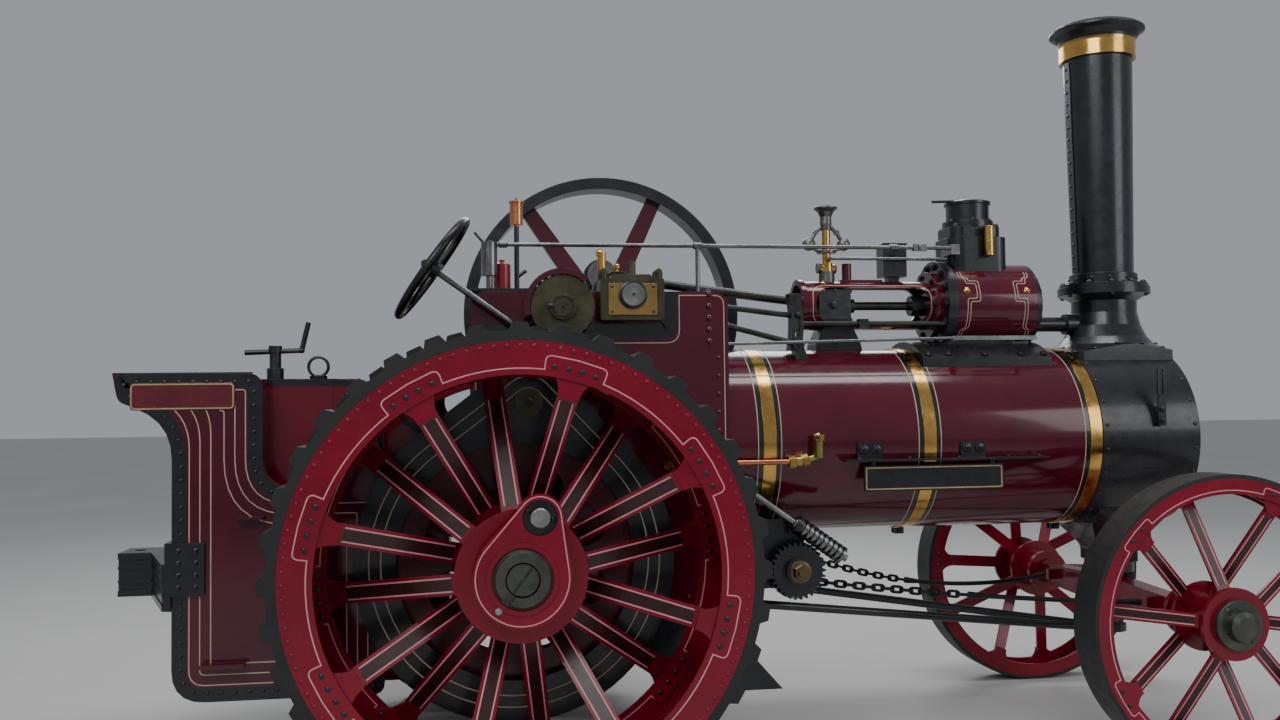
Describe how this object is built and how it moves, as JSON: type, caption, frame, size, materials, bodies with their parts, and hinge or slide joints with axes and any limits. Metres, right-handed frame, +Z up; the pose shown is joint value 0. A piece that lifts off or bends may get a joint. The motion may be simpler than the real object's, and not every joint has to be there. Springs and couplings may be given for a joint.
{
  "type": "steam traction engine",
  "caption": "Single-cylinder steam road engine with rubber-lugged spoked rear wheels, chain-steered front axle, flywheel and tall chimney.",
  "frame": {"origin": "on the ground, at the middle of the engine's length and on its centre line", "axes": "+X forward towards the chimney, +Y to the engine's left, +Z up"},
  "size_m": [4.997, 2.2406, 3.2633],
  "materials": {
    "maroon_paint": "gloss",
    "crimson_paint": "gloss",
    "black_paint": "gloss",
    "bright_steel": "polished",
    "brass": "polished",
    "rubber": "worn",
    "green_grey_paint": "satin"
  },
  "bodies": {
    "engine": {"boiler_barrel": "maroon_paint", "boiler_bands": "brass", "smokebox": "black_paint", "firebox": "black_paint", "ashpan": "black_paint", "hornplate_right": "maroon_paint", "hornplate_left": "maroon_paint", "chimney_base": "black_paint", "chimney_stack": "black_paint", "chimney_cap": "brass", "cylinder_block": "black_paint", "cylinder_lagging": "maroon_paint", "safety_valve": "black_paint", "trunk_guide": "maroon_paint", "guide_bracket": "black_paint", "lubricators": "black_paint", "crosshead": "bright_steel", "connecting_rod": "bright_steel", "crankshaft": "bright_steel", "crank_bearings": "brass", "valve_gear": "bright_steel", "governor": "bright_steel", "regulator_rods": "bright_steel", "exhaust_pipe": "black_paint", "side_shelf": "black_paint", "feed_pipe": "brass", "backhead_fittings": "brass", "steering_wheel": "bright_steel", "steering_shaft": "bright_steel", "steering_barrel": "black_paint", "steering_chains": "black_paint", "rear_axle": "bright_steel", "drive_gears": "crimson_paint", "motion_gears": "bright_steel", "gear_guard": "black_paint", "perch_bracket": "black_paint", "radius_rods": "black_paint", "tender_body": "maroon_paint", "manstand": "maroon_paint", "drawbar": "black_paint", "brake_column": "bright_steel"},
    "smokebox_door": {"smokebox_door": "black_paint"},
    "firehole_door": {"firehole_door": "black_paint"},
    "front_axle": {"front_axle": "crimson_paint", "axle_fork": "black_paint"},
    "flywheel": {"flywheel": "maroon_paint"},
    "rear_wheel_right": {"rear_wheel_right": "crimson_paint", "rear_tyre_right": "rubber", "rear_hubcap_right": "green_grey_paint"},
    "front_wheel_right": {"front_wheel_right": "crimson_paint", "front_tyre_right": "rubber", "front_hubcap_right": "green_grey_paint"},
    "rear_wheel_left": {"rear_wheel_left": "crimson_paint", "rear_tyre_left": "rubber", "rear_hubcap_left": "green_grey_paint"},
    "front_wheel_left": {"front_wheel_left": "crimson_paint", "front_tyre_left": "rubber", "front_hubcap_left": "green_grey_paint"}
  },
  "joints": [
    {"name": "smokebox_door_hinge", "type": "hinge", "parent": "engine", "child": "smokebox_door", "pos_m": [2.1405, 0.352, 1.318], "axis": [0, 0, 1], "range_deg": [0, 90]},
    {"name": "firehole_door_hinge", "type": "hinge", "parent": "engine", "child": "firehole_door", "pos_m": [-0.8268, 0.205, 1.25], "axis": [0, 0, -1], "range_deg": [0, 100]},
    {"name": "steering", "type": "hinge", "parent": "engine", "child": "front_axle", "pos_m": [1.9085, 0, 0.59], "axis": [0, 0, 1], "range_deg": [-25, 25], "deforming": ["steering_chains"]},
    {"name": "flywheel_spin", "type": "hinge", "parent": "engine", "child": "flywheel", "pos_m": [-0.4235, 0, 1.925], "axis": [0, 1, 0], "continuous": true},
    {"name": "rear_wheel_right_spin", "type": "hinge", "parent": "engine", "child": "rear_wheel_right", "pos_m": [-0.8985, 0, 0.89], "axis": [0, 1, 0], "continuous": true},
    {"name": "front_wheel_right_spin", "type": "hinge", "parent": "front_axle", "child": "front_wheel_right", "pos_m": [1.9085, 0, 0.59], "axis": [0, 1, 0], "continuous": true},
    {"name": "rear_wheel_left_spin", "type": "hinge", "parent": "engine", "child": "rear_wheel_left", "pos_m": [-0.8985, 0, 0.89], "axis": [0, 1, 0], "continuous": true},
    {"name": "front_wheel_left_spin", "type": "hinge", "parent": "front_axle", "child": "front_wheel_left", "pos_m": [1.9085, 0, 0.59], "axis": [0, 1, 0], "continuous": true}
  ]
}
